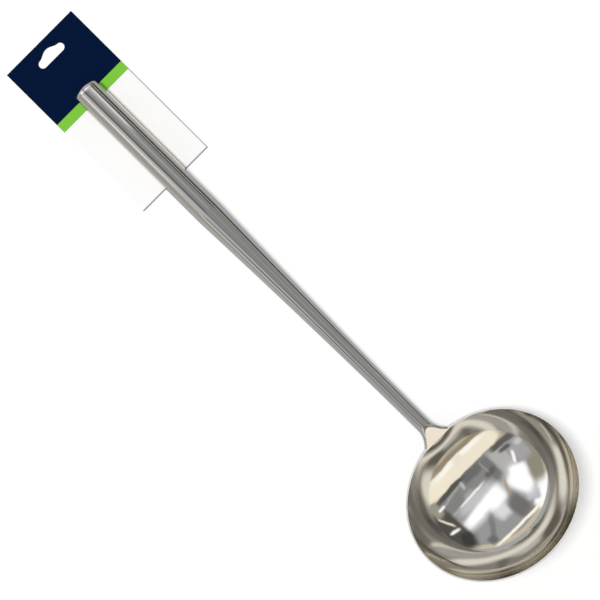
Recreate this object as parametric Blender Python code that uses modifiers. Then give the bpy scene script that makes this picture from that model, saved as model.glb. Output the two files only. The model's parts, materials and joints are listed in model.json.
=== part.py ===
"""Render scoop, lying bowl up on its hanging card. Metres, +Z up, the bowl towards +X, the handle along X."""

import math

import bmesh
import bpy
from mathutils import Matrix

# Bowl: a spherical cap, measured on its outside.
RIM_DIAMETER = 0.175
BOWL_DEPTH = 0.060
BOWL_SHEET = 0.0015

# Neck: the bowl's sheet leaves the rim as a flat web, and the web's sides curl down and close into a channel.
RIM_CHORD = 0.036
NECK_LENGTH = 0.0215
NECK_FLARE = 2.2
WEB_DROP = 0.0038
WEB_FALL = 1.35
FOLD_RADIUS = 0.004
LEG_LENGTH = 0.002
WALL_LEAN = math.radians(11)
RIM_LAND = 0.0004

# Handle: sheet rolled into a tube, a parallel grip and then a taper that runs out gently at the neck.
GRIP_DIAMETER = 0.0275
GRIP_LENGTH = 0.165
TAPER_LENGTH = 0.288
TAPER_POWER = 1.65
NECK_DIAMETER = 0.015
TUBE_WALL = 0.0012
SLIT_WIDTH = 0.0024
WELD_WIDTH = 0.0024
WELD_CROWN = 0.00015

# End cap: a domed stopper whose skirt sits in the tube.
CAP_BULGE = 0.0065
CAP_SQUARENESS = 2.4
CAP_SHEET = 0.0012
CAP_SKIRT = 0.009

# Hanging card, and the glue dots between it and the grip.
CARD_WIDTH = 0.088
CARD_LENGTH = 0.187
CARD_THICKNESS = 0.0006
CARD_OVERHANG = 0.061
SLOT_LENGTH = 0.032
SLOT_HEIGHT = 0.0084
SLOT_EDGE = 0.0215
HUMP_TOP = 0.002
HUMP_HEIGHT = 0.0038
GLUE_THICKNESS = 0.002
GLUE_DIAMETER = 0.012
GLUE_PITCH = 0.042
GLUE_FIRST = 0.016
GLUE_COUNT = 3

# Meshes that meet keep this much air between them.
FIT_GAP = 0.0003

# Fineness of the faceted surfaces.
BOWL_STEPS = 80
TUBE_STEPS = 40
ARC_STEP = math.radians(5)
TAPER_STATIONS = 14
NECK_STATIONS = 12
FOLD_POINTS = 6
LEG_POINTS = 6
SIDE_POINTS = 1 + FOLD_POINTS + LEG_POINTS
DOME_POINTS = 9
HUMP_STEPS = 16
SHARP_ANGLE = math.radians(35)

# The outer sphere of the bowl, and how far its centre lies above the rim's plane.
rim_radius = RIM_DIAMETER / 2
sphere_radius = (rim_radius**2 + BOWL_DEPTH**2) / (2 * BOWL_DEPTH)
rim_drop = sphere_radius - BOWL_DEPTH
rim_angle = math.atan2(rim_radius, rim_drop)
inner_radius = sphere_radius - BOWL_SHEET
inner_rim_radius = math.sqrt(inner_radius**2 - rim_drop**2)
chord_reach = math.sqrt(inner_rim_radius**2 - (RIM_CHORD / 2) ** 2)
web_reach = chord_reach - RIM_LAND
root_half_width = RIM_CHORD / 2 - RIM_LAND

# Heights over the table: the grip lies on the glue and the card, and the web falls from the tube's top.
grip_radius = GRIP_DIAMETER / 2
neck_radius = NECK_DIAMETER / 2
axis_height = CARD_THICKNESS + GLUE_THICKNESS + grip_radius
tube_top = axis_height + neck_radius
web_height = tube_top - WEB_DROP

# The bowl is tipped until its bottom and the card lie on the same table.
bowl_tilt = math.asin((sphere_radius - web_height) / math.hypot(web_reach, rim_drop)) - math.atan2(
    rim_drop, web_reach
)

# Stations along X, from the tube's hand end.
tube_end = GRIP_LENGTH + TAPER_LENGTH
channel_start = tube_end + WELD_WIDTH
web_end = tube_end + NECK_LENGTH
web_slope = WEB_FALL * WEB_DROP / (web_end - channel_start)
sphere_x = web_end + web_reach * math.cos(bowl_tilt) - rim_drop * math.sin(bowl_tilt)
cap_tip = -(FIT_GAP + CAP_BULGE)
card_start = cap_tip - CARD_OVERHANG
card_end = card_start + CARD_LENGTH
middle_x = (card_start + sphere_x + sphere_radius) / 2

# The slit under the handle, as an angle at the neck.
slit_half_angle = math.asin(SLIT_WIDTH / 2 / neck_radius)


def clear_scene():
    """Removes whatever the scene holds."""
    for obj in list(bpy.data.objects):
        bpy.data.objects.remove(obj, do_unlink=True)


def make_collection(name, hidden=False):
    """A collection under the scene's own; a hidden one holds cutters and other helpers."""
    collection = bpy.data.collections.new(name)
    bpy.context.scene.collection.children.link(collection)
    collection.hide_render = hidden
    return collection


def make_material(name, colour, roughness, metallic):
    """A Principled material."""
    material = bpy.data.materials.new(name)
    material.use_nodes = True
    shader = material.node_tree.nodes["Principled BSDF"]
    shader.inputs["Base Color"].default_value = (*colour, 1.0)
    shader.inputs["Roughness"].default_value = roughness
    shader.inputs["Metallic"].default_value = metallic
    return material


def make_empty(name, parent, location, rotation=(0, 0, 0)):
    """A frame that pieces are placed in."""
    empty = bpy.data.objects.new(name, None)
    bpy.context.scene.collection.objects.link(empty)
    empty.parent = parent
    empty.location = location
    empty.rotation_euler = rotation
    return empty


def make_object(name, data, parent, material=None, helper=False):
    """An object in its frame; a helper only cuts or joins, and isn't a piece."""
    obj = bpy.data.objects.new(name, data)
    (helpers if helper else scoop).objects.link(obj)
    obj.parent = parent
    if helper:
        obj.hide_render = True
        obj.display_type = "WIRE"
    else:
        data.materials.append(material)
    return obj


def line_mesh(name, points, azimuth=0.0):
    """A turned piece's outline as bare edges: points are (radius, height), set at an angle about Z."""
    mesh = bpy.data.meshes.new(name)
    ring = [(r * math.cos(azimuth), r * math.sin(azimuth), z) for r, z in points]
    mesh.from_pydata(ring, [(i, i + 1) for i in range(len(ring) - 1)], [])
    return mesh


def turn(obj, steps, sweep=2 * math.pi):
    """Turns an outline about its Z axis."""
    screw = obj.modifiers.new("turn", "SCREW")
    screw.axis = "Z"
    screw.angle = sweep
    screw.steps = steps
    screw.render_steps = steps
    screw.use_merge_vertices = True
    screw.merge_threshold = 0.00001


def give_wall(obj, thickness):
    """Gives an open surface a wall on its inner side."""
    solidify = obj.modifiers.new("wall", "SOLIDIFY")
    solidify.thickness = thickness
    solidify.offset = -1
    solidify.use_even_offset = True


def combine(obj, other, operation):
    """Joins, cuts or trims an object with another."""
    boolean = obj.modifiers.new(other.name, "BOOLEAN")
    boolean.object = other
    boolean.operation = operation


def settle(obj):
    """Gives an object its finished shape as a plain mesh, shaded smooth with its sharp edges kept."""
    graph = bpy.context.evaluated_depsgraph_get()
    finished = bpy.data.meshes.new_from_object(obj.evaluated_get(graph))
    obj.modifiers.clear()
    obj.data = finished
    finished.shade_smooth()
    finished.set_sharp_from_angle(angle=SHARP_ANGLE)


def spread(start, end, count):
    """count even steps from start to end, both ends included."""
    return [start + (end - start) * i / count for i in range(count + 1)]


def sphere_line(radius, top_angle):
    """(radius, height) points down a sphere from top_angle to its pole, angles measured at the pole.

    The rings that touch the table and that reach furthest along X are among them.
    """
    stops = {0.0, top_angle}
    stops |= {a for a in (bowl_tilt, math.pi / 2 - bowl_tilt) if 0 < a < top_angle}
    stops = sorted(stops, reverse=True)
    angles = [top_angle]
    for upper, lower in zip(stops, stops[1:]):
        count = max(1, round((upper - lower) / ARC_STEP))
        angles += spread(upper, lower, count)[1:]
    return [(radius * math.sin(a), -radius * math.cos(a)) for a in angles]


def bowl_blank(frame):
    """The solid cap that the bowl is hollowed from: flat at the rim's plane, round below."""
    points = [(0.0, -rim_drop)] + sphere_line(sphere_radius, rim_angle)
    bowl = make_object("bowl", line_mesh("bowl", points), frame, steel_bright)
    turn(bowl, BOWL_STEPS)
    return bowl


def bowl_cavity(frame):
    """The bowl's inside, with a straight wall above the rim and a flat one below the chord."""
    inner_angle = math.atan2(inner_rim_radius, rim_drop)
    above_rim = -rim_drop + BOWL_DEPTH
    points = [(0.0, above_rim), (inner_rim_radius, above_rim)] + sphere_line(inner_radius, inner_angle)
    cavity = make_object("bowl_cavity", line_mesh("bowl_cavity", points), frame, helper=True)
    turn(cavity, BOWL_STEPS)
    combine(cavity, chord_block(frame), "DIFFERENCE")
    return cavity


def chord_block(frame):
    """What stays solid behind the chord: its inner face leans in below the rim."""
    mesh = bpy.data.meshes.new("chord_block")
    cube = bmesh.new()
    to_face = Matrix.Translation((-0.5, 0, 0))
    size = Matrix.Diagonal((RIM_DIAMETER, RIM_DIAMETER, RIM_DIAMETER, 1))
    lean = Matrix.Rotation(-WALL_LEAN, 4, "Y")
    place = Matrix.Translation((-chord_reach, 0, -rim_drop))
    bmesh.ops.create_cube(cube, size=1.0, matrix=place @ lean @ size @ to_face)
    cube.to_mesh(mesh)
    cube.free()
    return make_object("chord_block", mesh, frame, helper=True)


def ease(share):
    """From 0 to 1 with level ends."""
    share = min(1.0, share)
    return share**2 * (3 - 2 * share)


def section_point(station, side_share):
    """(y, z) on the neck's outer surface: station 0 at the tube and 1 at the chord, share 0 on top and 1 at the edge.

    Each section is a flat top, a quarter-round fold and a leg. At the tube the flat is nil, and the fold and the
    leg make the tube's own circle. Towards the bowl the top widens and falls, the fold tightens, and the legs
    shorten and swing out.
    """
    top = tube_top - WEB_DROP * station**WEB_FALL
    half_width = neck_radius + (root_half_width - neck_radius) * station**NECK_FLARE
    fold = neck_radius + (FOLD_RADIUS - neck_radius) * ease(2 * station)
    tuck = neck_radius * (1 - ease(station))
    leg = neck_radius + (LEG_LENGTH - neck_radius) * ease(station)
    flat_share = min(1.0, 2 * station) / SIDE_POINTS
    fold_share = (1 + FOLD_POINTS) / SIDE_POINTS
    if side_share < flat_share:
        return (half_width - fold) * side_share / flat_share, top
    if side_share <= fold_share:
        angle = math.pi / 2 * (side_share - flat_share) / (fold_share - flat_share)
        return half_width - fold * (1 - math.sin(angle)), top - fold * (1 - math.cos(angle))
    angle = (math.pi / 2 - slit_half_angle) * (side_share - fold_share) / (1 - fold_share)
    return half_width - tuck * (1 - math.cos(angle)), top - fold - leg * math.sin(angle)


def root_x(y, z):
    """Where the neck's surface ends inside the bowl's wall: half way through it, or just past the chord."""
    wall = sphere_radius - BOWL_SHEET / 2
    in_wall = sphere_x - math.sqrt(wall**2 - (sphere_radius - z) ** 2 - y**2)
    return max(in_wall, web_end + BOWL_SHEET / 2)


def neck_sheet(frame):
    """The neck as a loft from the tube's circle to the folded web, with the sheet's thickness inside it.

    The last row runs straight on, down the web's slope, from the chord into the bowl's wall.
    """
    shares = [i / SIDE_POINTS for i in range(-SIDE_POINTS, SIDE_POINTS + 1)]
    points = []
    for station in spread(0.0, 1.0, NECK_STATIONS):
        for share in shares:
            y, z = section_point(station, abs(share))
            points.append((channel_start + (web_end - channel_start) * station, math.copysign(y, share), z))
    for share in shares:
        y, z = section_point(1.0, abs(share))
        x = root_x(y, z)
        points.append((x, math.copysign(y, share), z - web_slope * (x - web_end)))
    width = len(shares)
    faces = []
    for i in range(NECK_STATIONS + 1):
        for j in range(width - 1):
            corner = i * width + j
            faces.append((corner, corner + width, corner + width + 1, corner + 1))
    mesh = bpy.data.meshes.new("neck_sheet")
    mesh.from_pydata(points, [], faces)
    mesh.shade_smooth()
    neck = make_object("neck_sheet", mesh, frame, helper=True)
    give_wall(neck, BOWL_SHEET)
    return neck


def build_bowl(frame):
    """Bowl and neck, one pressing: the cap and the neck are joined, and the inside is cut out of both."""
    sphere_frame = make_empty("bowl_frame", frame, (sphere_x, 0, sphere_radius), (0, -bowl_tilt, 0))
    bowl = bowl_blank(sphere_frame)
    combine(bowl, neck_sheet(frame), "UNION")
    combine(bowl, bowl_cavity(sphere_frame), "DIFFERENCE")
    return bowl


def handle_radius(x):
    """The tube's outer radius at a distance from its hand end."""
    to_go = min(1.0, (tube_end - x) / TAPER_LENGTH)
    return neck_radius + (grip_radius - neck_radius) * to_go**TAPER_POWER


def tube_blank(name, axis, material):
    """The whole tube, before its slit: the outline runs down its outside and back up its inside."""
    stations = spread(tube_end, GRIP_LENGTH, TAPER_STATIONS) + [0.0]
    outside = [(handle_radius(x), x) for x in stations]
    inside = [(r - TUBE_WALL, x) for r, x in reversed(outside)]
    tube = make_object(name, line_mesh(name, outside + inside + outside[:1]), axis, material)
    turn(tube, TUBE_STEPS)
    return tube


def underside_block(name, axis, width):
    """A block along the tube's underside, of the given width, for the slit or for the bead in it."""
    mesh = bpy.data.meshes.new(name)
    block = bmesh.new()
    size = Matrix.Diagonal((GRIP_DIAMETER, width, 3 * tube_end, 1))
    bmesh.ops.create_cube(block, size=1.0, matrix=Matrix.Translation((grip_radius, 0, 0)) @ size)
    block.to_mesh(mesh)
    block.free()
    return make_object(name, mesh, axis, helper=True)


def build_handle_tube(axis):
    """The rolled tube, with the slit for the seam along its underside."""
    tube = tube_blank("handle_tube", axis, steel_brushed)
    combine(tube, underside_block("slit_block", axis, SLIT_WIDTH), "DIFFERENCE")
    return tube


def build_seam_weld(axis):
    """The bead that fills the slit: a narrow strip of the same tube."""
    bead = tube_blank("seam_weld", axis, steel_weld)
    combine(bead, underside_block("bead_block", axis, SLIT_WIDTH - 2 * FIT_GAP), "INTERSECT")
    return bead


def build_neck_weld(axis):
    """The dressed bead between the tube's end and the neck, with a slight crown."""
    low = tube_end + FIT_GAP
    high = channel_start - FIT_GAP
    points = [(neck_radius, high), (neck_radius + WELD_CROWN, (low + high) / 2), (neck_radius, low)]
    bead = make_object("neck_weld", line_mesh("neck_weld", points, slit_half_angle), axis, steel_weld)
    turn(bead, TUBE_STEPS, 2 * (math.pi - slit_half_angle))
    give_wall(bead, BOWL_SHEET)
    return bead


def dome_line(radius, bulge, start):
    """(radius, height) points over a dome with a squarish shoulder, from its edge to its tip."""
    power = 2 / CAP_SQUARENESS
    angles = spread(0.0, math.pi / 2, DOME_POINTS)[:-1]
    line = [(radius * math.cos(a) ** power, start - bulge * math.sin(a) ** power) for a in angles]
    return line + [(0.0, start - bulge)]


def build_end_cap(axis):
    """The stopper: a dome flush with the tube, and a skirt inside it."""
    skirt = grip_radius - TUBE_WALL - FIT_GAP
    inside = dome_line(skirt - CAP_SHEET, CAP_BULGE - CAP_SHEET, -FIT_GAP)[::-1]
    outside = dome_line(grip_radius, CAP_BULGE, -FIT_GAP)
    rim = [(skirt - CAP_SHEET, CAP_SKIRT), (skirt, CAP_SKIRT), (skirt, -FIT_GAP)]
    cap = make_object("end_cap", line_mesh("end_cap", inside + rim + outside), axis, steel_brushed)
    turn(cap, TUBE_STEPS)
    return cap


def arc(centre, radius, start, end, count):
    """Points along an arc."""
    return [
        (centre[0] + radius * math.cos(a), centre[1] + radius * math.sin(a)) for a in spread(start, end, count)
    ]


def slot_outline():
    """The hanging slot: straight below, round at both ends, its upper edge swelling to a hump in the middle."""
    end_radius = SLOT_HEIGHT / 2
    edge = card_start + SLOT_EDGE
    centre_y = SLOT_LENGTH / 2 - end_radius
    right = arc((edge - end_radius, centre_y), end_radius, 0.0, math.pi, 8)
    left = arc((edge - end_radius, -centre_y), end_radius, math.pi, 2 * math.pi, 8)
    hump = []
    for y in spread(centre_y, -centre_y, HUMP_STEPS)[1:-1]:
        rise = ease((centre_y - abs(y)) / (centre_y - HUMP_TOP / 2))
        hump.append((edge - SLOT_HEIGHT - HUMP_HEIGHT * rise, y))
    return right + hump + left


def add_outline(curve, points):
    """Adds one closed straight-edged outline to a flat curve."""
    spline = curve.splines.new("POLY")
    spline.points.add(len(points) - 1)
    for spline_point, (x, y) in zip(spline.points, points):
        spline_point.co = (x, y, 0, 1)
    spline.use_cyclic_u = True


def build_hang_card(frame):
    """The card, its slot cut right through."""
    half = CARD_WIDTH / 2
    curve = bpy.data.curves.new("hang_card", "CURVE")
    curve.dimensions = "2D"
    curve.fill_mode = "BOTH"
    curve.extrude = CARD_THICKNESS / 2
    add_outline(curve, [(card_start, -half), (card_end, -half), (card_end, half), (card_start, half)])
    add_outline(curve, slot_outline())
    card = make_object("hang_card", curve, frame, cardboard)
    card.location.z = CARD_THICKNESS / 2
    return card


def round_bar(name, diameter, length, place, segments):
    """A cylinder about Z, placed by a matrix."""
    mesh = bpy.data.meshes.new(name)
    bar = bmesh.new()
    radius = diameter / 2
    bmesh.ops.create_cone(
        bar, cap_ends=True, segments=segments, radius1=radius, radius2=radius, depth=length, matrix=place
    )
    bar.to_mesh(mesh)
    bar.free()
    return mesh


def build_glue_dots(frame):
    """The glue dots: round on the card, and hollowed above to the grip."""
    along_x = Matrix.Rotation(math.pi / 2, 4, "Y")
    place = Matrix.Translation((GRIP_LENGTH / 2, 0, axis_height)) @ along_x
    room = round_bar("grip_room", GRIP_DIAMETER + 2 * FIT_GAP, GRIP_LENGTH, place, 2 * TUBE_STEPS)
    grip_room = make_object("grip_room", room, frame, helper=True)
    bottom = CARD_THICKNESS + FIT_GAP
    dots = []
    for i in range(GLUE_COUNT):
        name = f"glue_dot_{i + 1}"
        place = Matrix.Translation((GLUE_FIRST + i * GLUE_PITCH, 0, (bottom + axis_height) / 2))
        mesh = round_bar(name, GLUE_DIAMETER, axis_height - bottom, place, 24)
        dots.append(make_object(name, mesh, frame, hot_glue))
        combine(dots[-1], grip_room, "DIFFERENCE")
    return dots


clear_scene()
scoop = make_collection("render_scoop")
helpers = make_collection("helpers", hidden=True)
steel_bright = make_material("steel_bright", (0.78, 0.76, 0.71), 0.08, 1.0)
steel_brushed = make_material("steel_brushed", (0.62, 0.61, 0.59), 0.32, 1.0)
steel_weld = make_material("steel_weld", (0.55, 0.54, 0.52), 0.4, 1.0)
cardboard = make_material("cardboard", (0.92, 0.92, 0.91), 0.55, 0.0)
hot_glue = make_material("hot_glue", (0.85, 0.82, 0.72), 0.45, 0.0)

# The origin is under the middle of the whole; the handle's frame has its Z along the handle and its X down.
root = make_empty("scoop_frame", None, (-middle_x, 0, 0))
handle_axis = make_empty("handle_axis", root, (0, 0, axis_height), (0, math.pi / 2, 0))
pieces = [
    build_bowl(root),
    build_handle_tube(handle_axis),
    build_seam_weld(handle_axis),
    build_neck_weld(handle_axis),
    build_end_cap(handle_axis),
    *build_glue_dots(root),
]
build_hang_card(root)
for piece in pieces:
    settle(piece)
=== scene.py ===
# %% [markdown]
# # A render scoop on its hanging card
#
# A plasterer's scoop in stainless steel: a round bowl pressed from sheet, a neck folded out of the same
# sheet, a long rolled tube for a handle with a domed stopper in its end, and a shop card glued under the
# grip.
#
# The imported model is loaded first. It gives every piece its place, and the looks are built around it, in the
# same frame and in metres: +X runs along the handle to the bowl, +Y across it, and +Z up from the table.

import json
import math

import bmesh
import bpy
import numpy as np
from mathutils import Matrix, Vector

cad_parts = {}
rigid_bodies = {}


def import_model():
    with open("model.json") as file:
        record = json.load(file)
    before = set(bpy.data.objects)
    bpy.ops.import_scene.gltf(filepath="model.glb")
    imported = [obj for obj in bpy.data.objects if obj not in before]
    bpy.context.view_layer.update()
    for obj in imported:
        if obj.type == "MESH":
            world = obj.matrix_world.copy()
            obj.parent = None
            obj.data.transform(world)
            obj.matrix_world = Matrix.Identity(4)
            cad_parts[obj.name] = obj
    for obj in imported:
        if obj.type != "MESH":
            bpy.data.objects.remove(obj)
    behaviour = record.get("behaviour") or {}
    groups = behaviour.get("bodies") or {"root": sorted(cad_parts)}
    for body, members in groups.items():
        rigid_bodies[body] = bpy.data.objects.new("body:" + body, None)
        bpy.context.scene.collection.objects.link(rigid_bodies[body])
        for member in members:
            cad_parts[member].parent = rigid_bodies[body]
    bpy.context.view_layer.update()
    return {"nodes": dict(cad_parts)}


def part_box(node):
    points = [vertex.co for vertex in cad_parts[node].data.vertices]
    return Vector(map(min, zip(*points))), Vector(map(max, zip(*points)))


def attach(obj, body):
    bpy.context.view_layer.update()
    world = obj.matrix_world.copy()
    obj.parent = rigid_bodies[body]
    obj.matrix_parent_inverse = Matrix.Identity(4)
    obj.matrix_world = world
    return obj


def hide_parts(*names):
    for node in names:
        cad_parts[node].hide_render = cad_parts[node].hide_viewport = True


for leftover in list(bpy.data.objects):
    bpy.data.objects.remove(leftover)
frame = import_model()
print("nodes:", ", ".join(sorted(frame["nodes"])))

# %% [markdown]
# ## Sizes
#
# The sizes are those of the solid model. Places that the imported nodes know, such as where the tube starts and
# stops and how high its axis lies, are measured from them, so that the looks can't drift away from the
# solids.

# %% Sizes of the pressed sheet, the tube and the cap, in metres
RIM_DIAMETER = 0.175
BOWL_DEPTH = 0.060
BOWL_SHEET = 0.0015
RIM_CHORD = 0.036
WALL_LEAN = math.radians(11)
RIM_LAND = 0.0004
NECK_LENGTH = 0.0215
NECK_FLARE = 2.2
WEB_DROP = 0.0038
WEB_FALL = 1.35
FOLD_RADIUS = 0.004
LEG_LENGTH = 0.002
GRIP_DIAMETER = 0.0275
TAPER_LENGTH = 0.288
TAPER_POWER = 1.65
NECK_DIAMETER = 0.015
TUBE_WALL = 0.0012
SLIT_WIDTH = 0.0024
WELD_WIDTH = 0.0024
CAP_BULGE = 0.0065
CAP_SQUARENESS = 2.4
CAP_SHEET = 0.0012
CAP_SKIRT = 0.009
FIT_GAP = 0.0003

grip_radius = GRIP_DIAMETER / 2
neck_radius = NECK_DIAMETER / 2
hand_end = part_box("handle_tube")[0].x
tube_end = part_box("handle_tube")[1].x
axis_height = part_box("end_cap")[1].z - grip_radius
print(f"the tube runs from {hand_end:.4f} to {tube_end:.4f} m, its axis {axis_height:.5f} m over the table")

# %% [markdown]
# ## How a surface becomes a piece
#
# Every new piece here is a surface of two parameters. numpy works out all of its points at once, as a grid of
# rows and columns, and the faces follow from the grid's numbering, with the last column joined to the first.
# The rows of a piece of sheet go out over one skin and back over the other, and quads close its two ends. A
# dome is closed with one point, the pole. Everything is shaded smooth but corners of more than 40 degrees,
# which stay crisp.

# %% Mesh helpers
CRISP_CORNER = math.radians(40)


def grid_faces(rows, columns):
    """The quads of a grid numbered row by row, its last column joined to its first."""
    row = np.arange(rows - 1)[:, None]
    column = np.arange(columns)[None, :]
    following = (column + 1) % columns
    corners = [row * columns + column, row * columns + following]
    corners += [(row + 1) * columns + following, (row + 1) * columns + column]
    return np.stack(corners, axis=-1).reshape(-1, 4)


def make_piece(name, points, faces, replaced):
    """A smooth-shaded closed piece, faces turned outwards, that stands for the CAD nodes named."""
    mesh = bpy.data.meshes.new(name)
    mesh.from_pydata(points.reshape(-1, 3).tolist(), [], [face.tolist() for face in faces])
    shell = bmesh.new()
    shell.from_mesh(mesh)
    bmesh.ops.recalc_face_normals(shell, faces=shell.faces)
    shell.to_mesh(mesh)
    shell.free()
    mesh.shade_smooth()
    mesh.set_sharp_from_angle(angle=CRISP_CORNER)
    piece = bpy.data.objects.new(name, mesh)
    bpy.context.scene.collection.objects.link(piece)
    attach(piece, "root")
    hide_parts(*replaced)
    low, high = points.reshape(-1, 3).min(0), points.reshape(-1, 3).max(0)
    print(f"{name}: {len(faces)} faces, {np.round(1000 * (high - low), 1)} mm")
    return piece


def pole_fan(ring, pole):
    """Triangles from a ring of point numbers to one pole."""
    return np.stack([ring, np.roll(ring, -1), np.full(len(ring), pole)], axis=-1)


def close_ends(rows, columns):
    """Quads across both end faces of a grid whose loops go out over one skin and back over the other."""
    low = np.arange(columns // 2 - 1)
    high = columns - 1 - low
    first = np.stack([low, low + 1, high - 1, high], axis=-1)
    return list(first) + list(first + (rows - 1) * columns)


def make_wall(name, outer, inner, replaced):
    """A piece of sheet from its outer and its inner skin, closed along its edges and at both ends."""
    loops = np.concatenate([outer, inner[:, ::-1]], axis=1)
    rows, columns = loops.shape[:2]
    faces = list(grid_faces(rows, columns)) + close_ends(rows, columns)
    return make_piece(name, loops, faces, replaced)


def make_round(name, loops, poles, replaced):
    """A piece from closed loops, with one pole that closes the first loop and one that closes the last."""
    rows, columns = loops.shape[:2]
    first_loop = np.arange(columns)
    last_loop = first_loop + (rows - 1) * columns
    faces = list(grid_faces(rows, columns))
    faces += list(pole_fan(first_loop, rows * columns)) + list(pole_fan(last_loop, rows * columns + 1))
    return make_piece(name, np.concatenate([loops.reshape(-1, 3), poles]), faces, replaced)


# %% [markdown]
# ## The bowl
#
# The real bowl is pressed from 1.5 mm sheet: part of a sphere with a flat place under the neck. A UV sphere
# with its top cut off would do for the outside, but the mirror finish shows every facet, and the flat place
# needs its own soft edge. So the bowl is one closed surface: rays leave the middle of the rim's plane in all
# directions, and each meets the sphere or the flat, whichever is nearer, with a smooth hand-over between
# them. The cut edge has its corners eased, and the outside is the sphere again.

# %% The bowl's sphere, tilt and place
rim_radius = RIM_DIAMETER / 2
sphere_radius = (rim_radius**2 + BOWL_DEPTH**2) / (2 * BOWL_DEPTH)
rim_drop = sphere_radius - BOWL_DEPTH
inner_radius = sphere_radius - BOWL_SHEET
inner_rim_radius = math.sqrt(inner_radius**2 - rim_drop**2)
chord_reach = math.sqrt(inner_rim_radius**2 - (RIM_CHORD / 2) ** 2)
web_reach = chord_reach - RIM_LAND
root_half_width = RIM_CHORD / 2 - RIM_LAND
tube_top = axis_height + neck_radius
web_height = tube_top - WEB_DROP
channel_start = tube_end + WELD_WIDTH
web_end = tube_end + NECK_LENGTH
web_slope = WEB_FALL * WEB_DROP / (web_end - channel_start)
web_distance = math.hypot(web_reach, rim_drop)
bowl_tilt = math.asin((sphere_radius - web_height) / web_distance) - math.atan2(rim_drop, web_reach)
sphere_x = web_end + web_reach * math.cos(bowl_tilt) - rim_drop * math.sin(bowl_tilt)
bowl_centre = np.array([sphere_x, 0.0, sphere_radius])
print(f"the bowl leans {math.degrees(bowl_tilt):.1f} degrees")
print(f"its outer sphere is {2000 * sphere_radius:.1f} mm across")


# %% The bowl's surface
FLAT_BLEND = 0.0010
LEAST_FACING = 0.05
RIM_EASE = 0.0004
EASE_ROWS = 6


def from_bowl_frame(points):
    """Turns points about Y by the bowl's tilt and moves them to the sphere's centre."""
    turn = np.array(
        [
            [math.cos(bowl_tilt), 0, -math.sin(bowl_tilt)],
            [0, 1, 0],
            [math.sin(bowl_tilt), 0, math.cos(bowl_tilt)],
        ]
    )
    return points @ turn.T + bowl_centre


def inner_reach(around, down):
    """How far a ray from the rim's middle goes to the inner wall, for an angle around and an angle down.

    The sphere: the positive root of |start + r * ray| = radius. The flat: its distance over the ray's share
    along its normal, which leans with the wall. That share is held at a least value, because rays that turn
    away from the flat would never meet it. A smooth minimum joins the two: -blend * log(sum of exp(-r / blend)).
    """
    ray_x = np.cos(around) * np.cos(down)
    ray_z = -np.sin(down)
    along = -rim_drop * ray_z
    to_sphere = -along + np.sqrt(along**2 + inner_radius**2 - rim_drop**2)
    facing = -ray_x * math.cos(WALL_LEAN) - ray_z * math.sin(WALL_LEAN)
    to_flat = chord_reach * math.cos(WALL_LEAN) / np.maximum(facing, LEAST_FACING)
    nearer = np.minimum(to_sphere, to_flat)
    parts = np.exp((nearer - to_sphere) / FLAT_BLEND) + np.exp((nearer - to_flat) / FLAT_BLEND)
    return nearer - FLAT_BLEND * np.log(parts)


def inner_points(around, down):
    """Points on the inner wall, in the bowl's own frame."""
    reach = inner_reach(around, down)
    x = reach * np.cos(around) * np.cos(down)
    y = reach * np.sin(around) * np.cos(down)
    return np.stack([x, y, -rim_drop - reach * np.sin(down)], axis=-1)


def outer_points(around, angle):
    """Points on the outer sphere, for an angle around and an angle from the pole."""
    x = sphere_radius * np.sin(angle) * np.cos(around)
    y = sphere_radius * np.sin(angle) * np.sin(around)
    return np.stack([x, y, np.broadcast_to(-sphere_radius * np.cos(angle), x.shape)], axis=-1)


def bend(start, corner, end):
    """Rows of a rounded corner: a quadratic curve from start to end that is pulled towards the corner."""
    share = np.linspace(0, 1, EASE_ROWS)[:, None, None]
    return (1 - share) ** 2 * start + 2 * share * (1 - share) * corner + share**2 * end


def bowl_surface(columns=320, inner_rows=84, outer_rows=56):
    """Rows from the inside's middle up to the rim, over the cut edge, and down the outside to its pole."""
    around = np.linspace(0, 2 * math.pi, columns, endpoint=False)[None, :]
    edge_down = np.full((1, 1), RIM_EASE / inner_rim_radius)
    steps = np.linspace(0, 1, inner_rows)[:, None]
    down = math.pi / 2 - (math.pi / 2 - edge_down) * steps
    inside = inner_points(around, down[1:])
    inner_corner = inner_points(around, np.zeros((1, 1)))
    rim_angle = math.atan2(rim_radius, rim_drop)
    outer_corner = outer_points(around, np.full((1, 1), rim_angle))
    across = outer_corner - inner_corner
    across /= np.linalg.norm(across, axis=-1, keepdims=True)
    eased_angle = rim_angle - RIM_EASE / sphere_radius
    outside_start = outer_points(around, np.full((1, 1), eased_angle))
    inner_ease = bend(inside[-1:], inner_corner, inner_corner + RIM_EASE * across)[1:]
    outer_ease = bend(outer_corner - RIM_EASE * across, outer_corner, outside_start)
    outside = outer_points(around, np.linspace(eased_angle, 0, outer_rows)[1:-1, None])
    return from_bowl_frame(np.concatenate([inside, inner_ease, outer_ease, outside]))


poles = from_bowl_frame(np.array([[0, 0, -inner_radius], [0, 0, -sphere_radius]]))
bowl = make_round("bowl_pressing", bowl_surface(), poles, ["bowl"])

# %% [markdown]
# ## The neck
#
# The same sheet runs out of the rim as a web and curls down at both sides until it closes into a channel that
# the handle is welded to. It could be lofted by hand from a few profiles. Here each section is one formula, a
# flat top, a quarter-round fold and a leg, whose sizes change smoothly from the tube's circle to the folded
# web. The sheet's other side is the same surface moved inwards by its thickness.

# %% The neck's surface
SLIT_HALF_ANGLE = math.asin(SLIT_WIDTH / 2 / neck_radius)
FLAT_SHARE = 1 / 13
FOLD_SHARE = 7 / 13
# Where there is no flat, its share is this small and not zero, because the section divides by it.
NO_FLAT = 1e-9
NECK_ROWS = 61
ROOT_ROWS = 9
NECK_COLUMNS = 121


def smooth_step(share):
    """From 0 to 1 with level ends: share^2 (3 - 2 share)."""
    share = np.clip(share, 0, 1)
    return share**2 * (3 - 2 * share)


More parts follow.
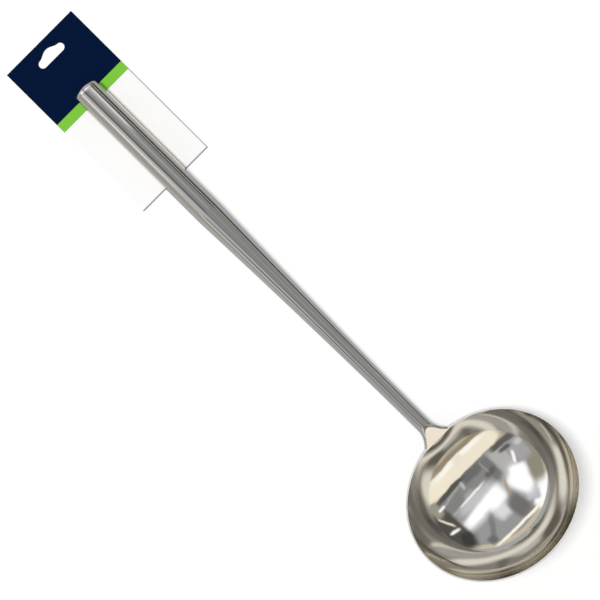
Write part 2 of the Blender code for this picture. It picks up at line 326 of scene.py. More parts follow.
def neck_section(station, side):
    """(y, z) on the neck: station 0 at the tube and 1 at the bowl, side from 0 on top to 1 at the edge.

    The top falls as the square of the station to half way, and straight from there. Across it, a flat takes
    the first thirteenth of the side, a quarter turn of the fold the next six, and a quarter turn of the leg
    the rest.
    """
    half_width = neck_radius + (root_half_width - neck_radius) * station**NECK_FLARE
    top = tube_top - WEB_DROP * 4 / 3 * np.where(station < 0.5, station**2, station - 0.25)
    fold = neck_radius + (FOLD_RADIUS - neck_radius) * smooth_step(2 * station)
    tuck = neck_radius * (1 - smooth_step(station))
    leg = neck_radius + (LEG_LENGTH - neck_radius) * smooth_step(station)
    flat_share = np.maximum(np.minimum(1, 2 * station) * FLAT_SHARE, NO_FLAT)
    fold_angle = math.pi / 2 * np.clip((side - flat_share) / (FOLD_SHARE - flat_share), 0, 1)
    leg_angle = (math.pi / 2 - SLIT_HALF_ANGLE) * np.clip((side - FOLD_SHARE) / (1 - FOLD_SHARE), 0, 1)
    on_flat = side < flat_share
    y = half_width - fold * (1 - np.sin(fold_angle)) - tuck * (1 - np.cos(leg_angle))
    y = np.where(on_flat, (half_width - fold) * side / flat_share, y)
    z = top - fold * (1 - np.cos(fold_angle)) - leg * np.sin(leg_angle)
    return y, z


def neck_points(station, share):
    """Points on the neck; past station 1 they run on down the web's slope into the bowl's wall."""
    inside = np.minimum(station, 1)
    y, z = neck_section(inside, np.abs(share))
    wall = sphere_radius - BOWL_SHEET / 2
    in_wall = sphere_x - np.sqrt(wall**2 - (sphere_radius - z) ** 2 - y**2)
    root = np.maximum(in_wall, web_end + BOWL_SHEET / 2)
    past = np.clip(station - 1, 0, 1) * (root - web_end)
    x = channel_start + (web_end - channel_start) * inside + past
    return np.stack([x, np.copysign(y, share), z - web_slope * past], axis=-1)


def normals_of(grid):
    """Unit normals of a grid of points, from its differences along rows and columns."""
    normal = np.cross(np.gradient(grid, axis=1), np.gradient(grid, axis=0))
    return normal / np.linalg.norm(normal, axis=-1, keepdims=True)


stations = np.concatenate([np.linspace(0, 1, NECK_ROWS), np.linspace(1, 2, ROOT_ROWS)[1:]])[:, None]
shares = np.linspace(-1, 1, NECK_COLUMNS)[None, :]
outer = neck_points(stations, shares)
inward = normals_of(outer)
to_axis = np.array([0, 0, axis_height]) - outer
inward *= np.sign(np.sum((inward * to_axis)[..., 1:], axis=-1).mean())
neck = make_wall("neck_web", outer, outer + BOWL_SHEET * inward, ["bowl"])

# %% [markdown]
# ## The handle
#
# The handle is sheet rolled into a tube, with its seam welded underneath. It is parallel over the grip and
# then tapers, quickly at first and hardly at all near the neck. A cylinder with a lattice could give the
# taper, but a profile turned about an axis gives it exactly: the radius is a formula of the place along the
# tube. The section isn't a full circle, because the seam's bead lies in a slit of its own.

# %% The tube
END_EASE = 0.0002
FIRST_ROWS = (0.0004, 0.0008)
EVEN_ROWS_START = 0.002
EVEN_ROWS = 150
SIDES = 129


def handle_radius(x):
    """The tube's outer radius: neck + (grip - neck) * (share of the taper still to go)^power."""
    to_go = np.clip((tube_end - x) / TAPER_LENGTH, 0, 1)
    return neck_radius + (grip_radius - neck_radius) * to_go**TAPER_POWER


def tube_point(x, radius, angle):
    """A point round the handle's axis; angle 0 is straight down, and it grows towards +Y."""
    x, radius, angle = np.broadcast_arrays(x, radius, angle)
    return np.stack([x, radius * np.sin(angle), axis_height - radius * np.cos(angle)], axis=-1)


def round_the_slit(half_slit):
    """Angles from one lip of the slit round to the other."""
    return half_slit + (2 * math.pi - 2 * half_slit) * np.linspace(0, 1, SIDES)[None, :]


# The corner at the hand end is a quarter turn of a small circle, and the rows grow apart behind it.
turn = np.linspace(math.pi / 2, 0, 5)
eased = END_EASE * (1 - np.sin(turn))
even = np.linspace(EVEN_ROWS_START, tube_end - hand_end, EVEN_ROWS)
x_line = hand_end + np.concatenate([eased, FIRST_ROWS, even])[:, None]
radius_line = handle_radius(x_line)
radius_line[: len(turn), 0] -= END_EASE * (1 - np.cos(turn))
angles = round_the_slit(np.arcsin(SLIT_WIDTH / 2 / radius_line))
outer = tube_point(x_line, radius_line, angles)
inner = tube_point(x_line, handle_radius(x_line) - TUBE_WALL, angles)
handle = make_wall("handle_skin", outer, inner, ["handle_tube"])

# %% [markdown]
# ## The welds
#
# The seam's bead is laid down in small overlapping pools and then dressed nearly flat, so it keeps faint
# ripples a few millimetres apart. The ring where the tube meets the neck is dressed so well that it hardly
# shows. Both are strips: a section carried along a line, with the ripple added to the section's height.

# %% The seam's bead and the ring at the neck
RIPPLE_PITCH = 0.0021
RIPPLE_HEIGHT = 0.00007
RIPPLE_SWEEP = 0.35
BEAD_CROWN = 0.00006
BEAD_SINK = 0.00008
BEAD_SIDE_GAP = 0.00012
BEAD_START = 0.0004
BEAD_STOP = 0.0001
BEAD_ROWS = 1200
RING_CROWN = 0.00001

x_line = np.linspace(hand_end + BEAD_START, tube_end - BEAD_STOP, BEAD_ROWS)[:, None]
across = np.linspace(-1, 1, 13)[None, :]
angles = np.arcsin((SLIT_WIDTH / 2 - BEAD_SIDE_GAP) / handle_radius(x_line)) * across
pool = np.cos(2 * math.pi * (x_line / RIPPLE_PITCH + RIPPLE_SWEEP * across**2))
crown = BEAD_CROWN * (1 - across**2) + RIPPLE_HEIGHT * pool * (1 - across**4)
outer = tube_point(x_line, handle_radius(x_line) - BEAD_SINK + crown, angles)
inner = tube_point(x_line, handle_radius(x_line) - TUBE_WALL, angles)
seam = make_wall("seam_bead", outer, inner, ["seam_weld"])

x_line = np.linspace(tube_end, channel_start, 13)[:, None]
crown = RING_CROWN * np.sin(math.pi * (x_line - tube_end) / WELD_WIDTH)
angles = round_the_slit(SLIT_HALF_ANGLE)
outer = tube_point(x_line, neck_radius + crown, angles)
inner = tube_point(x_line, neck_radius - BOWL_SHEET, angles)
neck_bead = make_wall("neck_bead", outer, inner, ["neck_weld"])

# %% [markdown]
# ## The end cap
#
# The stopper is a small pressing: a dome with a squarish shoulder outside, and a skirt that sits in the tube.
# Its outline is a superellipse, |r|^n + |h|^n = 1, turned about the handle's axis. The solid model keeps a
# wider gap between cap and tube, for the sake of the simulation; here only the hairline shows that the real
# joint has.

# %% The stopper
SEEN_GAP = 0.00005
LIP = ((-0.0003, -0.00002), (-0.0001, 0.0))


def dome(radius, bulge, steps):
    """(radius, height) along a superellipse from the dome's edge to its tip, which is left out."""
    angle = np.linspace(0, math.pi / 2, steps)[:-1]
    power = 2 / CAP_SQUARENESS
    return np.stack([radius * np.cos(angle) ** power, bulge * np.sin(angle) ** power], axis=-1)


skirt = grip_radius - TUBE_WALL - FIT_GAP
start = hand_end - SEEN_GAP
bulge = CAP_BULGE + FIT_GAP - SEEN_GAP
inside = dome(skirt - CAP_SHEET, bulge - CAP_SHEET, steps=24)[::-1]
skirt_line = [[skirt - CAP_SHEET, -CAP_SKIRT], [skirt, -CAP_SKIRT], [skirt, 0.0]]
lip = [[grip_radius + out, up] for out, up in LIP]
profile = np.concatenate([inside, skirt_line, lip, dome(grip_radius, bulge, steps=40)])
angles = np.linspace(0, 2 * math.pi, 128, endpoint=False)[None, :]
loops = tube_point(start - profile[:, 1:2], profile[:, 0:1], angles)
tips = tube_point(start - np.array([bulge - CAP_SHEET, bulge]), np.zeros(2), np.zeros(2))
cap = make_round("end_stopper", loops, tips, ["end_cap"])

# %% [markdown]
# ## Materials
#
# Steel is only as good as what it reflects and how finely it scatters it. Each finish starts from Principled
# BSDF at Metallic 1, and gets its grain from noise that is stretched along the way the tool was rubbed: along
# the handle, and round the bowl. Stretched noise is cheap, has no tiles, and reads Object coordinates, so it
# stays on the piece. A painted image of scratches would need a UV map and would blur close up.

# %% Shader helpers
# A Mix node has hidden sockets of the same names, so its colour sockets are known by their numbers.
MIX_FIRST, MIX_SECOND, MIX_RESULT = 6, 7, 2
# Nearly all values of a noise texture lie between these two.
USUAL_NOISE = (0.3, 0.7)


def new_material(name, colour, roughness, metallic):
    """A Principled material with its constants set on the shader's own sockets."""
    material = bpy.data.materials.new(name)
    material.use_nodes = True
    shader = material.node_tree.nodes["Principled BSDF"]
    shader.inputs["Base Color"].default_value = (*colour, 1)
    shader.inputs["Roughness"].default_value = roughness
    shader.inputs["Metallic"].default_value = metallic
    return material, material.node_tree, shader


def add_node(tree, kind, *inputs, **settings):
    """Adds a node; inputs are sockets to link or constants to set, in order, and None leaves one alone."""
    node = tree.nodes.new("ShaderNode" + kind)
    for key, value in settings.items():
        setattr(node, key, value)
    for socket, value in zip(node.inputs, inputs):
        if isinstance(value, bpy.types.NodeSocket):
            tree.links.new(value, socket)
        elif value is not None:
            socket.default_value = value
    return node


def place_coordinates(tree, stretch=(1, 1, 1), location=(0, 0, 0), rotation=(0, 0, 0)):
    """Object coordinates in a piece's own frame; a stretch under 1 draws a texture out along that axis."""
    coordinates = tree.nodes.new("ShaderNodeTexCoord").outputs["Object"]
    moved = add_node(tree, "Mapping", coordinates, location, rotation, None, vector_type="TEXTURE")
    return add_node(tree, "VectorMath", moved.outputs[0], stretch, operation="MULTIPLY").outputs[0]


def noise(tree, vector, fineness, detail=3.0, rough=0.5):
    """The value of a noise texture; fineness is its scale, in lumps to a metre."""
    return add_node(tree, "TexNoise", vector, None, fineness, detail, rough).outputs[0]


def to_range(tree, value, old, new):
    """Carries a value from an old range to a new one, held at its ends."""
    return add_node(tree, "MapRange", value, *old, *new).outputs[0]


def calculate(tree, operation, *inputs):
    """The result of a Math node."""
    return add_node(tree, "Math", *inputs, operation=operation).outputs[0]


def mix_colours(tree, share, first, second):
    """Goes from the first colour to the second as a share does from 0 to 1; each is a socket or numbers."""
    mixer = add_node(tree, "Mix", data_type="RGBA")
    tree.links.new(share, mixer.inputs["Factor"])
    for number, colour in ((MIX_FIRST, first), (MIX_SECOND, second)):
        if isinstance(colour, bpy.types.NodeSocket):
            tree.links.new(colour, mixer.inputs[number])
        else:
            mixer.inputs[number].default_value = (*colour, 1)
    return mixer.outputs[MIX_RESULT]


def scaled(colour, share):
    """A colour made lighter or darker."""
    return tuple(channel * share for channel in colour)


def add_bump(tree, shader, height, distance, strength, under=None):
    """Adds a bump to a shader, over another bump if one is given."""
    bump = add_node(tree, "Bump", strength)
    bump.inputs["Distance"].default_value = distance
    tree.links.new(height, bump.inputs["Height"])
    if under:
        tree.links.new(under, bump.inputs["Normal"])
    tree.links.new(bump.outputs[0], shader.inputs["Normal"])
    return bump.outputs[0]


# %% [markdown]
# The bowl is buffed to a mirror. What is left of the work is a slow unevenness of the sheet, which makes
# straight reflections wander, and very fine rings from the buffing wheel, which only soften them a little.
# The rings are noise read at the distance from the bowl's axis. The cut edge is only ground, so a band at the
# rim's height is rougher and paler.

# %% Mirror steel of the bowl
STEEL_TINT = (0.63, 0.59, 0.505)
CUT_EDGE = (0.95, 0.89, 0.77)
CUT_EDGE_ROUGHNESS = 0.3
RING_ROUGHNESS = (0.035, 0.075)
CLOUD_ROUGHNESS = (0.0, 0.04)
WAVE_HEIGHT = 0.0007
RING_HEIGHT = 0.000004


def make_mirror_steel(name, has_cut_edge):
    """Buffed steel in the bowl's own frame; where there is a cut edge, it is paler and rougher."""
    material, tree, shader = new_material(name, STEEL_TINT, roughness=0.06, metallic=1.0)
    local = place_coordinates(tree, location=tuple(bowl_centre), rotation=(0, -bowl_tilt, 0))
    parts = add_node(tree, "SeparateXYZ", local)
    flat = add_node(tree, "CombineXYZ", parts.outputs[0], parts.outputs[1], 0.0)
    from_axis = add_node(tree, "VectorMath", flat.outputs[0], operation="LENGTH").outputs["Value"]
    ring_place = add_node(tree, "CombineXYZ", from_axis, 0.0, 0.0).outputs[0]
    rings = noise(tree, ring_place, fineness=1400.0, detail=4.0, rough=0.7)
    cloud = noise(tree, local, fineness=38.0, detail=3.0, rough=0.55)
    waves = noise(tree, local, fineness=21.0, detail=1.0, rough=0.4)
    polish = to_range(tree, rings, USUAL_NOISE, RING_ROUGHNESS)
    cloudy = to_range(tree, cloud, (0.35, 0.7), CLOUD_ROUGHNESS)
    roughness = calculate(tree, "ADD", polish, cloudy)
    colour = mix_colours(tree, cloud, scaled(STEEL_TINT, 0.97), scaled(STEEL_TINT, 1.03))
    if has_cut_edge:
        edge_low = -rim_drop - RIM_EASE
        edge = to_range(tree, parts.outputs[2], (edge_low, edge_low + RIM_EASE / 2), (0.0, 1.0))
        ground = calculate(tree, "MULTIPLY", edge, CUT_EDGE_ROUGHNESS)
        roughness = calculate(tree, "ADD", roughness, ground)
        colour = mix_colours(tree, edge, colour, CUT_EDGE)
    tree.links.new(roughness, shader.inputs["Roughness"])
    tree.links.new(colour, shader.inputs["Base Color"])
    sheet = add_bump(tree, shader, waves, WAVE_HEIGHT, strength=0.12)
    add_bump(tree, shader, rings, RING_HEIGHT, strength=0.5, under=sheet)
    print(f"{name}: {len(tree.nodes)} nodes")
    return material


mirror_steel = make_mirror_steel("mirror_steel", has_cut_edge=True)
neck_steel = make_mirror_steel("neck_steel", has_cut_edge=False)

# %% [markdown]
# The handle is polished less, and lengthwise. Noise stretched along X does it: bands a few millimetres wide
# that make the tube's reflections uneven across it, and finer lines in the roughness. The stopper in its end
# is spun separately and stays duller.

# %% Drawn steel of the handle
DRAWN_TINT = (0.615, 0.577, 0.5)
LINE_ROUGHNESS = (0.06, 0.12)
BAND_HEIGHT = 0.00004
CAP_DULLNESS = 0.08
CAP_FADE = 0.0005

drawn_steel, tree, shader = new_material("drawn_steel", DRAWN_TINT, roughness=0.1, metallic=1.0)
lines = noise(tree, place_coordinates(tree, stretch=(0.02, 1, 1)), fineness=500.0, detail=2.0)
bands = noise(tree, place_coordinates(tree, stretch=(0.03, 1, 1)), fineness=240.0, detail=1.0)
place = add_node(tree, "SeparateXYZ", tree.nodes.new("ShaderNodeTexCoord").outputs["Object"]).outputs[0]
dull = to_range(tree, place, (hand_end - CAP_FADE, hand_end), (CAP_DULLNESS, 0.0))
polish = to_range(tree, lines, USUAL_NOISE, LINE_ROUGHNESS)
colour = mix_colours(tree, lines, scaled(DRAWN_TINT, 0.9), scaled(DRAWN_TINT, 1.08))
tree.links.new(calculate(tree, "ADD", polish, dull), shader.inputs["Roughness"])
tree.links.new(colour, shader.inputs["Base Color"])
add_bump(tree, shader, bands, BAND_HEIGHT, strength=0.25)
print("drawn steel:", len(tree.nodes), "nodes")

# %% [markdown]
# The seam's weld is dressed with a finer belt and stays satin, with a straw tint left by the heat. The ring
# at the neck is polished over together with the handle, so it takes the handle's steel.

# %% Weld steel
WELD_TINT = (0.58, 0.56, 0.53)
WELD_GREY = (0.56, 0.55, 0.53)
WELD_STRAW = (0.6, 0.56, 0.49)
WELD_ROUGHNESS = (0.22, 0.42)
GRIT_HEIGHT = 0.00002

weld_steel, tree, shader = new_material("dressed_weld", WELD_TINT, roughness=0.3, metallic=1.0)
grit = noise(tree, place_coordinates(tree), fineness=900.0, detail=4.0, rough=0.6)
heat = noise(tree, place_coordinates(tree), fineness=90.0, detail=2.0)
tree.links.new(to_range(tree, grit, USUAL_NOISE, WELD_ROUGHNESS), shader.inputs["Roughness"])
tree.links.new(mix_colours(tree, heat, WELD_GREY, WELD_STRAW), shader.inputs["Base Color"])
add_bump(tree, shader, grit, GRIT_HEIGHT, strength=0.5)
print("weld steel:", len(tree.nodes), "nodes")

# %% [markdown]
# ## The card
#
# The card keeps its solid, a flat sheet with a slot for a shop peg. Its face is printed with a navy header
# and a green band over white; here the bands are comparisons of the X coordinate, so their edges stay sharp
# at any distance. The print is coated and a little glossy, with a breath of fibre in it, and the cut sides
# show raw board. A thin grey line along the side at +Y and along the end towards the bowl is not print but
# painted shadow: the shade that the card's edges cast on the two sides away from the light.

# %% Printed card
NAVY = (0.0003, 0.006, 0.031)
GREEN = (0.205, 0.55, 0.052)
CARD_WHITE = (0.93, 0.93, 0.93)
RAW_BOARD = (0.62, 0.6, 0.56)
# The next grey is painted shadow, drawn along two of the card's edges.
PAINTED_EDGE_SHADOW = (0.3, 0.3, 0.3)
HEADER_LENGTH = 0.0685
BAND_LENGTH = 0.0103
# Widths of that painted shadow, along the side at +Y and along the end at +X.
SIDE_SHADOW_WIDTH = 0.0009
END_SHADOW_WIDTH = 0.0014
PRINT_ROUGHNESS = (0.42, 0.56)
FIBRE_HEIGHT = 0.00002

card_low, card_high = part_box("hang_card")
printed_card, tree, shader = new_material("printed_card", CARD_WHITE, roughness=0.38, metallic=0.0)
shader.inputs["Specular IOR Level"].default_value = 0.06
place = add_node(tree, "SeparateXYZ", tree.nodes.new("ShaderNodeTexCoord").outputs["Object"])
along, across = place.outputs[0], place.outputs[1]
header_end = card_low.x + HEADER_LENGTH
# Painted shadow: a thin grey line along the side at +Y and the end at +X, where the card's edges would cast
# shade.
in_side_shadow = calculate(tree, "GREATER_THAN", across, card_high.y - SIDE_SHADOW_WIDTH)
in_end_shadow = calculate(tree, "GREATER_THAN", along, card_high.x - END_SHADOW_WIDTH)
colour = mix_colours(tree, calculate(tree, "MAXIMUM", in_side_shadow, in_end_shadow), CARD_WHITE, PAINTED_EDGE_SHADOW)
in_band = calculate(tree, "LESS_THAN", along, header_end + BAND_LENGTH)
colour = mix_colours(tree, in_band, colour, GREEN)
colour = mix_colours(tree, calculate(tree, "LESS_THAN", along, header_end), colour, NAVY)
facing = add_node(tree, "SeparateXYZ", tree.nodes.new("ShaderNodeNewGeometry").outputs["Normal"])
on_cut_side = calculate(tree, "LESS_THAN", calculate(tree, "ABSOLUTE", facing.outputs[2]), 0.5)
colour = mix_colours(tree, on_cut_side, colour, RAW_BOARD)
fibres = noise(tree, place_coordinates(tree, stretch=(1, 2.2, 1)), fineness=1500.0, detail=5.0, rough=0.6)
sheen = noise(tree, place_coordinates(tree), fineness=220.0)
tree.links.new(colour, shader.inputs["Base Color"])
tree.links.new(to_range(tree, sheen, USUAL_NOISE, PRINT_ROUGHNESS), shader.inputs["Roughness"])
add_bump(tree, shader, fibres, FIBRE_HEIGHT, strength=0.35)
print(f"printed card: {len(tree.nodes)} nodes; the header ends at x = {header_end:.4f} m")

# %% [markdown]
# The glue is hot-melt: milky, a little see-through, with a soft shine.

# %% Hot-melt glue
GLUE_COLOUR = (0.86, 0.82, 0.7)
GLUE_DARK = (0.83, 0.79, 0.66)
GLUE_LIGHT = (0.89, 0.86, 0.75)
GLUE_ROUGHNESS = (0.28, 0.42)
LUMP_HEIGHT = 0.0002

hot_glue, tree, shader = new_material("hot_glue", GLUE_COLOUR, roughness=0.35, metallic=0.0)
shader.inputs["Subsurface Weight"].default_value = 0.4
shader.inputs["Subsurface Radius"].default_value = (0.004, 0.003, 0.002)
lumps = noise(tree, place_coordinates(tree), fineness=420.0, detail=2.0, rough=0.4)
tree.links.new(to_range(tree, lumps, USUAL_NOISE, GLUE_ROUGHNESS), shader.inputs["Roughness"])
tree.links.new(mix_colours(tree, lumps, GLUE_DARK, GLUE_LIGHT), shader.inputs["Base Color"])
add_bump(tree, shader, lumps, LUMP_HEIGHT, strength=0.4)
print("hot-melt glue:", len(tree.nodes), "nodes")

# %% [markdown]
# The new pieces get their materials here. The card and the glue dots are solids whose shape is right as it
# is, so they stay, and only the material in their slot changes.

# %% Materials on the pieces
for piece, material in (
    (bowl, mirror_steel),
    (neck, neck_steel),
    (handle, drawn_steel),
    (seam, weld_steel),
    (neck_bead, drawn_steel),
    (cap, drawn_steel),
):
    piece.data.materials.append(material)
for name, material in (
    ("hang_card", printed_card),
    ("glue_dot_1", hot_glue),
    ("glue_dot_2", hot_glue),
    ("glue_dot_3", hot_glue),
):
    frame["nodes"][name].material_slots[0].material = material
print("materials:", ", ".join(sorted(material.name for material in bpy.data.materials)))

# %% [markdown]
# ## The floor
#
# The floor is a plain pale sheet. Seen by the camera it adds a little light of its own, which brings the open
# floor to white and leaves the object's soft shadow in it. The metal shows a share of that light too, and
# there it is a little blue, because the steel's own colour would turn plain white to straw.

# %% Floor
FLOOR_SIDE = 6.0
FLOOR_GREY = (0.5, 0.5, 0.5)
FLOOR_GLOW = 0.5
METAL_GLOW = 0.18
METAL_GLOW_COLOUR = (0.28, 0.49, 1.0)

corners = [(x * FLOOR_SIDE / 2, y * FLOOR_SIDE / 2, 0) for x, y in ((-1, -1), (1, -1), (1, 1), (-1, 1))]
mesh = bpy.data.meshes.new("floor")
mesh.from_pydata(corners, [], [(0, 1, 2, 3)])
floor = bpy.data.objects.new("floor", mesh)
bpy.context.scene.collection.objects.link(floor)
pale_floor, tree, shader = new_material("pale_floor", FLOOR_GREY, roughness=0.9, metallic=0.0)
shader.inputs["Specular IOR Level"].default_value = 0.0
seen = add_node(tree, "LightPath")
in_metal = calculate(tree, "MULTIPLY", seen.outputs["Is Glossy Ray"], METAL_GLOW)
glow = calculate(tree, "MULTIPLY_ADD", seen.outputs["Is Camera Ray"], FLOOR_GLOW, in_metal)
glow_colour = mix_colours(tree, seen.outputs["Is Glossy Ray"], (1, 1, 1), METAL_GLOW_COLOUR)
tree.links.new(glow, shader.inputs["Emission Strength"])
tree.links.new(glow_colour, shader.inputs["Emission Color"])
mesh.materials.append(pale_floor)
print(f"floor: {FLOOR_SIDE} m square, {len(tree.nodes)} nodes")

# %% [markdown]
# ## The studio
#
# A mirror has no looks of its own: it shows the room. So the room is built as a sky of soft rounded panels,
# the way a product photographer hangs sheets and lights round a table. Lamps alone would leave the bowl
# black. Directions are written as two angles in degrees from straight up, x towards the bowl and y across it,
# because in those a panel overhead is a plain rectangle. What lies near the horizon is a plain rectangle in
# the angle from straight up and the azimuth instead. The colours are what the polished steel shows of each
# panel, and they are divided by the steel's own colour to get the light. The windows are brighter than white,
# so that they still glare after the steel has thrown them back two or three times.

# %% The studio's panels
SKY_BASE = (150, 150, 150)
# Each row: name, x, y, half widths, turn in degrees, softness, and the colour shown, where 255 is white.
PANELS = [
    ("left_glow", -44.5, 3, 13.5, 13, 0, 0.7, (218, 218, 218)),
    ("left_diagonal", -56, 31, 19, 3.6, -36, 0.9, (126, 125, 123)),
    ("left_corner", -67, 42, 6, 6, 0, 1.0, (108, 106, 103)),
    ("left_wedge", -59, -14, 17, 11, 6, 0.7, (113, 111, 107)),
    ("lower_left", -61, -38, 8, 10, -30, 0.6, (182, 183, 190)),
    ("cream_line", -77.8, 3, 2.1, 44, 0, 0.6, (252, 248, 233)),
    ("centre", 1, 2, 17, 22, 0, 0.4, (134, 133, 132)),
    ("centre_dark", 11, 0, 7, 15, 0, 0.6, (107, 106, 105)),
    ("middle_glow", -15, 18, 5, 27, 0, 0.7, (192, 192, 194)),
    ("far_grey", 3, 42, 13, 19, 0, 0.5, (130, 130, 128)),
    ("lower_band", -2, -20.5, 19, 6, 0, 0.6, (118, 117, 115)),
    ("lower_grey", -3, -38, 18, 10, 0, 0.5, (178, 176, 173)),
    ("lower_lilac", -8, -63, 17, 11, 0, 0.4, (164, 162, 162)),
    ("grip_dark", -5, -17, 3.4, 8, 0, 0.8, (96, 95, 93)),
    ("grip_light", -5, 20, 3, 7, 0, 0.8, (158, 158, 156)),
    ("lower_patch", 1, -69, 4, 5, 0, 0.7, (196, 196, 196)),
    ("window_1_glow", -30, 22, 9.5, 32, 5, 1.0, (212, 212, 213)),
    ("window_2_glow", -39, -39, 21, 15, 20, 1.0, (212, 212, 213)),
    ("window_1", -29, 26, 6.0, 27, 5, 1.0, (264, 264, 264)),
    ("window_1_foot", -30, 1, 9.5, 14, 6, 1.0, (264, 264, 264)),
    ("window_2", -38, -37, 15.5, 11, 22, 0.9, (264, 264, 264)),
    ("window_2_side", -27, -44, 8, 11, -20, 1.0, (264, 264, 262)),
    ("brown_line", -31, -19, 11, 2.0, -26, 0.8, (172, 156, 134)),
    ("streak", -8.8, 19, 1.3, 21, 2.5, 0.7, (248, 248, 246)),
    ("streak_faint", -9.6, 47, 1.4, 9, 2.5, 0.8, (170, 171, 172)),
    ("cream", 28, 4, 11.3, 62, 0, 0.16, (238, 229, 207)),
    ("cream_yellow", 27, 40, 7, 26, 0, 0.9, (240, 231, 206)),
    ("cream_white", 35.5, 0, 3.2, 40, 0, 0.7, (250, 246, 232)),
    ("cream_pink", 33, 0, 5.5, 7, 0, 0.8, (237, 225, 210)),
    ("cream_edge", 43, 0, 3, 66, 0, 0.6, (146, 134, 112)),
    ("dark_strip_top", 14, 38, 3.2, 27, 0, 0.4, (82, 81, 79)),
    ("dark_strip_low", 13, -57, 4, 23, 0, 0.5, (92, 90, 87)),
    ("dark_spot", 4.5, -50, 2.6, 9, 0, 0.7, (92, 91, 90)),
    ("light_arc", 8, 38, 1.6, 19, 6, 0.7, (160, 160, 156)),
    ("patch", 7, 18, 5, 2.2, -10, 0.7, (184, 184, 182)),
    ("arc_low", 4, -15, 8, 1.1, 0, 0.8, (150, 150, 150)),
    ("short_streak", -10, -51, 8, 2.2, -26, 0.7, (252, 252, 250)),
    ("olive_low", -40, -64, 16, 10, -28, 0.9, (142, 139, 122)),
    ("top_dark", -22, 67, 36, 13, 0, 0.4, (80, 78, 73)),
    ("top_dark_2", -43, 64, 10, 8, -30, 0.5, (62, 61, 58)),
    ("top_olive", 10, 64, 10, 7, 0, 0.6, (150, 149, 132)),
    ("top_streak", -24, 67.5, 1.9, 7.5, -8, 0.7, (250, 248, 240)),
    ("top_diagonal", -9, 66, 11, 1.5, 22, 0.7, (226, 220, 196)),
    ("top_patch", 6.6, 57, 1.6, 5, 0, 0.5, (255, 255, 252)),
]
# Each row: name, degrees from straight up, azimuth, half widths of both, softness, colour.
HORIZON = [
    ("bowl_side_1", 72, 0, 24, 90, 0.35, (190, 176, 146)),
    ("bowl_side_2", 72, 360, 24, 80, 0.35, (188, 176, 148)),
    ("far_dark", 78, 96, 18, 34, 0.5, (66, 63, 57)),
    ("near_olive", 80, 264, 15, 34, 0.5, (148, 143, 124)),
    ("beige", 90, 180, 6, 64, 0.5, (197, 185, 163)),
    ("white_corner", 86, 217, 11, 15, 0.4, (255, 255, 252)),
]
print(len(PANELS), "panels and", len(HORIZON), "stretches of the horizon")

# %% [markdown]
# The world's shader starts from the direction of a ray and works out both charts of it. A point of the first
# one lies in the ray's direction over the floor, as far out as its angle from straight up. Slow noise moves
# each point by a degree or so, because no edge in a real room is as straight as a formula's.

# %% Charts of the sky
WANDER_FINENESS = 0.06
WANDER_DEGREES = 4.0

world = bpy.data.worlds.new("studio")
world.use_nodes = True
bpy.context.scene.world = world
tree = world.node_tree
parts = add_node(tree, "SeparateXYZ", tree.nodes.new("ShaderNodeTexCoord").outputs["Generated"])
degrees = calculate(tree, "MULTIPLY", calculate(tree, "ARCCOSINE", parts.outputs[2]), 180 / math.pi)
flat = add_node(tree, "CombineXYZ", parts.outputs[0], parts.outputs[1], 0.0)
level = add_node(tree, "VectorMath", flat.outputs[0], operation="NORMALIZE").outputs[0]
straight = add_node(tree, "VectorMath", level, operation="SCALE")
tree.links.new(degrees, straight.inputs["Scale"])
wander = add_node(tree, "TexNoise", straight.outputs[0], None, WANDER_FINENESS, 2.0, 0.5)
centred = add_node(tree, "VectorMath", wander.outputs["Color"], (0.5, 0.5, 0.5), operation="SUBTRACT")
wander_size = (WANDER_DEGREES, WANDER_DEGREES, 0.0)
drift = add_node(tree, "VectorMath", centred.outputs[0], wander_size, operation="MULTIPLY")
chart = add_node(tree, "VectorMath", straight.outputs[0], drift.outputs[0], operation="ADD").outputs[0]
azimuth = calculate(tree, "ARCTAN2", parts.outputs[1], parts.outputs[0])
around = calculate(tree, "FLOORED_MODULO", calculate(tree, "MULTIPLY", azimuth, 180 / math.pi), 360.0)
turn_chart = add_node(tree, "CombineXYZ", degrees, around, 0.0).outputs[0]
print("charts:", len(tree.nodes), "nodes")

# %% [markdown]
# Each panel covers what is already there, like a sheet hung in front of the others, so the order of the rows
# counts. The camera sees plain white in place of it all, and what isn't metal gets only a share of its light.

# %% Hang the panels
SKY_SHARE = 0.36


def linear(colour):
    """A colour of 0 to 255 as light, by the sRGB curve."""
    share = np.array(colour) / 255
    return tuple(np.where(share <= 0.04045, share / 12.92, ((share + 0.055) / 1.055) ** 2.4).tolist())


def hang_panel(sky, vector, middle, half, turn, soft, colour):
    """Covers the sky with one soft-edged rounded rectangle, (x / half_x)^4 + (y / half_y)^4 = 1."""
    place = (*middle, 0)
    rotation = (0, 0, math.radians(turn))
    shrink = (1 / half[0], 1 / half[1], 0)
    moved = add_node(tree, "Mapping", vector, place, rotation, None, vector_type="TEXTURE")
    share = add_node(tree, "VectorMath", moved.outputs[0], shrink, operation="MULTIPLY")
    squares = add_node(tree, "VectorMath", share.outputs[0], share.outputs[0], operation="MULTIPLY")
    reach = add_node(tree, "VectorMath", squares.outputs[0], operation="LENGTH").outputs["Value"]
    mask = add_node(tree, "MapRange", reach, 1 + soft, 1 - soft, 0.0, 1.0, interpolation_type="SMOOTHSTEP")
    return mix_colours(tree, mask.outputs[0], sky, linear(colour))


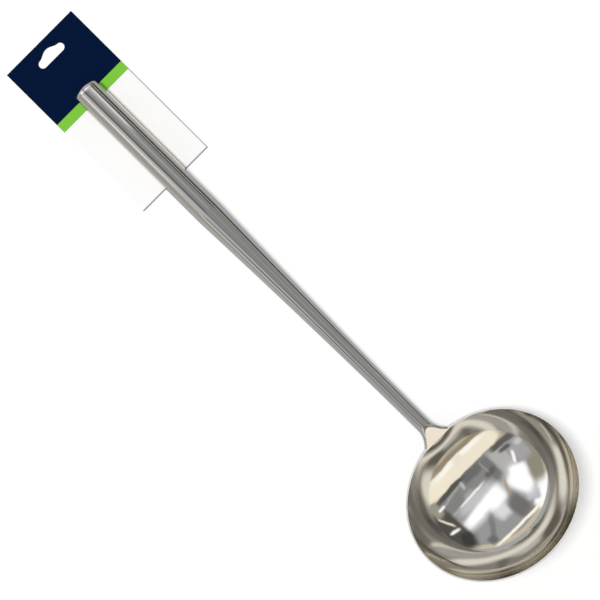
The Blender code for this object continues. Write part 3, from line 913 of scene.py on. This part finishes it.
base = add_node(tree, "RGB")
base.outputs[0].default_value = (*linear(SKY_BASE), 1)
sky = base.outputs[0]
for name, x, y, half_x, half_y, soft, colour in HORIZON:
    sky = hang_panel(sky, turn_chart, (x, y), (half_x, half_y), 0, soft, colour)
for name, x, y, half_x, half_y, turn, soft, colour in PANELS:
    sky = hang_panel(sky, chart, (x, y), (half_x, half_y), turn, soft, colour)
light = add_node(tree, "VectorMath", sky, STEEL_TINT, operation="DIVIDE").outputs[0]
seen = add_node(tree, "LightPath")
backdrop = mix_colours(tree, seen.outputs["Is Camera Ray"], light, (1, 1, 1))
strength = to_range(tree, seen.outputs["Is Diffuse Ray"], (0.0, 1.0), (1.0, SKY_SHARE))
tree.links.new(backdrop, tree.nodes["Background"].inputs["Color"])
tree.links.new(strength, tree.nodes["Background"].inputs["Strength"])
print("sky:", len(tree.nodes), "nodes")

# %% [markdown]
# The metal sees the sky in full, but card and floor get about a quarter of their light from it. The rest
# comes from one soft sun, which lights the floor evenly out to its edges and gives the shadow its direction.
# The metal doesn't show that sun, because a panel of the sky stands in its place there. Two faint strip
# lights beside the grip draw the two thin streaks on it. They are linked to the handle alone.

# %% Lamps
SUN_POWER = 2.32
SUN_ANGLE = math.radians(11)
SUN_COLOUR = (1.0, 0.99, 0.965)
SUN_DIRECTION = Vector((0.13, 0.1, -1))
STRIP_COLOUR = (0.9, 0.9, 0.9)

sun = bpy.data.lights.new("key_light", "SUN")
sun.energy = SUN_POWER
sun.angle = SUN_ANGLE
sun.color = SUN_COLOUR
key = bpy.data.objects.new("key_light", sun)
key.rotation_euler = SUN_DIRECTION.to_track_quat("-Z", "Y").to_euler()
key.visible_glossy = False
bpy.context.scene.collection.objects.link(key)
lit = bpy.data.collections.new("lit_by_the_strips")
lit.objects.link(handle)


def hang_strip(name, place, size, power):
    """A rectangular lamp for the handle alone, one side along X, that faces the floor under the handle."""
    data = bpy.data.lights.new(name, "AREA")
    data.shape = "RECTANGLE"
    data.size, data.size_y = size
    data.energy = power
    data.color = STRIP_COLOUR
    strip = bpy.data.objects.new(name, data)
    strip.location = place
    strip.rotation_euler = Vector((0, -place[1], -place[2])).to_track_quat("-Z", "Y").to_euler()
    strip.light_linking.receiver_collection = lit
    bpy.context.scene.collection.objects.link(strip)


hang_strip("far_strip", (-0.341, 0.62, 0.8), (0.085, 0.28), 0.066)
hang_strip("near_strip", (-0.295, -0.79, 0.65), (0.18, 0.14), 0.041)
print("lamps:", ", ".join(sorted(lamp.name for lamp in bpy.data.lights)))

# %% [markdown]
# ## The camera
#
# The photograph looks straight down from about three metres, through a long lens, with the handle lying
# across the frame from the upper left to the lower right. The camera is turned about Z instead of the scoop.
# Light may bounce often in this scene, because the bowl shows itself in itself several times over.

# %% Camera
FOCAL_LENGTH = 186.1
SENSOR_WIDTH = 36
CAMERA_PLACE = (0.0103, 0.0018, 3.0)
CAMERA_TURN = math.radians(44.83)
BOUNCES = 16

camera_data = bpy.data.cameras.new("camera")
camera_data.lens = FOCAL_LENGTH
camera_data.sensor_width = SENSOR_WIDTH
camera = bpy.data.objects.new("camera", camera_data)
camera.location = CAMERA_PLACE
camera.rotation_euler = (0, 0, CAMERA_TURN)
scene = bpy.context.scene
scene.collection.objects.link(camera)
scene.camera = camera
scene.view_settings.view_transform = "Standard"
scene.cycles.max_bounces = BOUNCES
scene.cycles.glossy_bounces = BOUNCES
print(f"camera: {CAMERA_PLACE[2]} m up, lens {FOCAL_LENGTH} mm, turn {math.degrees(CAMERA_TURN):.2f} degrees")
